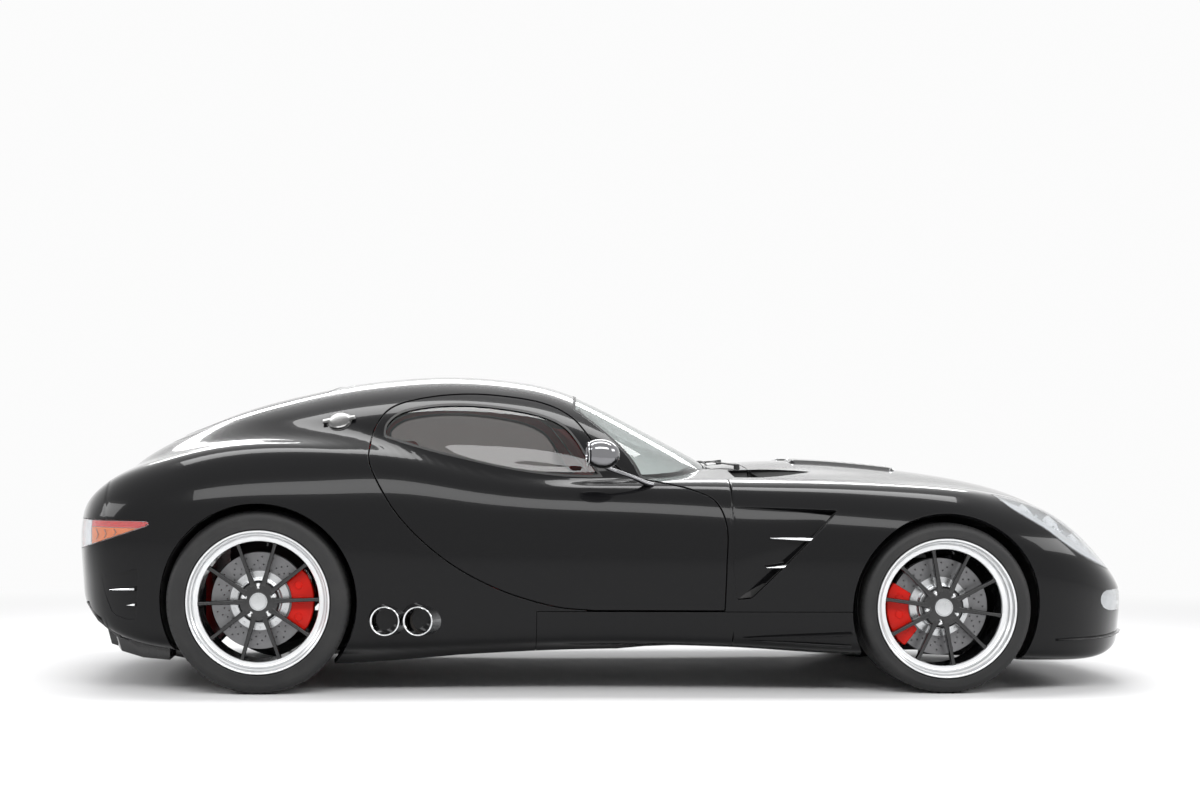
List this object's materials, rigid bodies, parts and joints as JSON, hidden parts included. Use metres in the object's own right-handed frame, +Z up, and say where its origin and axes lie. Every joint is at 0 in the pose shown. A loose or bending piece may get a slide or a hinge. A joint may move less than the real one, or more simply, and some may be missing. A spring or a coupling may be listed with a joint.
{
  "type": "two-door grand touring coupe",
  "caption": "Low long-bonnet fastback coupe with opening doors, bonnet and tailgate, steered front wheels and rolling wheels on dark split-spoke rims.",
  "frame": {"origin": "on the ground under the middle of the car", "axes": "+X forward, +Y to the car's left, +Z up"},
  "size_m": [4.3038, 2.006, 1.257],
  "materials": {
    "paint": "high gloss black",
    "trim": "dark gloss",
    "glass": "tinted",
    "rubber": "matte",
    "wheel": "dark polished, bright rim edge",
    "caliper": "gloss red",
    "chrome": "polished",
    "alloy": "cast",
    "iron": "dark",
    "lamp": "clear lens",
    "tail_lamp": "red lens",
    "leather": "red"
  },
  "bodies": {
    "shell": {"floor_pan": "iron", "sill_left": "paint", "sill_right": "paint", "front_shell": "paint", "rear_shell": "paint", "roof": "paint", "windscreen": "glass", "front_splitter": "trim", "rear_diffuser": "trim", "headlamp_left": "lamp", "headlamp_right": "lamp", "tail_lamp_left": "tail_lamp", "tail_lamp_right": "tail_lamp", "fuel_cap": "chrome", "exhaust_left": "chrome", "exhaust_right": "chrome", "engine": "alloy", "dashboard": "leather", "seat_left": "leather", "seat_right": "leather", "front_axle": "iron", "rear_axle": "iron", "caliper_rear_left": "caliper", "caliper_rear_right": "caliper"},
    "bonnet": {"bonnet": "paint"},
    "tailgate": {"tailgate": "paint", "tailgate_glass": "glass"},
    "door_left": {"door_left": "paint", "door_glass_left": "glass", "mirror_left": "trim"},
    "door_right": {"door_right": "paint", "door_glass_right": "glass", "mirror_right": "trim"},
    "steering_wheel": {"steering_wheel": "leather"},
    "knuckle_left": {"knuckle_left": "iron", "caliper_front_left": "caliper"},
    "knuckle_right": {"knuckle_right": "iron", "caliper_front_right": "caliper"},
    "wheel_front_left": {"wheel_front_left": "wheel", "tyre_front_left": "rubber"},
    "wheel_front_right": {"wheel_front_right": "wheel", "tyre_front_right": "rubber"},
    "wheel_rear_left": {"wheel_rear_left": "wheel", "tyre_rear_left": "rubber"},
    "wheel_rear_right": {"wheel_rear_right": "wheel", "tyre_rear_right": "rubber"}
  },
  "joints": [
    {"name": "bonnet_hinge", "type": "hinge", "parent": "shell", "child": "bonnet", "pos_m": [1.925, 0, 0.64], "axis": [0, 1, 0], "range_deg": [0, 50]},
    {"name": "tailgate_hinge", "type": "hinge", "parent": "shell", "child": "tailgate", "pos_m": [-1.004, 0, 1.2271], "axis": [0, 1, 0], "range_deg": [0, 65]},
    {"name": "door_left_hinge", "type": "hinge", "parent": "shell", "child": "door_left", "pos_m": [0.442, 0.893, 0.55], "axis": [0, 0, -1], "range_deg": [0, 65]},
    {"name": "door_right_hinge", "type": "hinge", "parent": "shell", "child": "door_right", "pos_m": [0.442, -0.893, 0.55], "axis": [0, 0, 1], "range_deg": [0, 65]},
    {"name": "steer_left", "type": "hinge", "parent": "shell", "child": "knuckle_left", "pos_m": [1.283, 0.6489, 0.33], "axis": [0, 0, 1], "range_deg": [-30, 30]},
    {"name": "steer_right", "type": "hinge", "parent": "shell", "child": "knuckle_right", "pos_m": [1.283, -0.6489, 0.33], "axis": [0, 0, 1], "range_deg": [-30, 30]},
    {"name": "steering_column", "type": "hinge", "parent": "shell", "child": "steering_wheel", "pos_m": [0.01, 0.37, 0.72], "axis": [-0.9397, 0, 0.342], "range_deg": [-420, 420]},
    {"name": "roll_front_left", "type": "hinge", "parent": "knuckle_left", "child": "wheel_front_left", "pos_m": [1.283, 0.8639, 0.33], "axis": [0, 1, 0], "continuous": true},
    {"name": "roll_front_right", "type": "hinge", "parent": "knuckle_right", "child": "wheel_front_right", "pos_m": [1.283, -0.8639, 0.33], "axis": [0, 1, 0], "continuous": true},
    {"name": "roll_rear_left", "type": "hinge", "parent": "shell", "child": "wheel_rear_left", "pos_m": [-1.375, 0.9005, 0.355], "axis": [0, 1, 0], "continuous": true},
    {"name": "roll_rear_right", "type": "hinge", "parent": "shell", "child": "wheel_rear_right", "pos_m": [-1.375, -0.9005, 0.355], "axis": [0, 1, 0], "continuous": true}
  ],
  "couplings": [
    {"joint": "steer_right", "follows": "steer_left", "ratio": 1},
    {"joint": "steering_column", "follows": "steer_left", "ratio": 14}
  ]
}
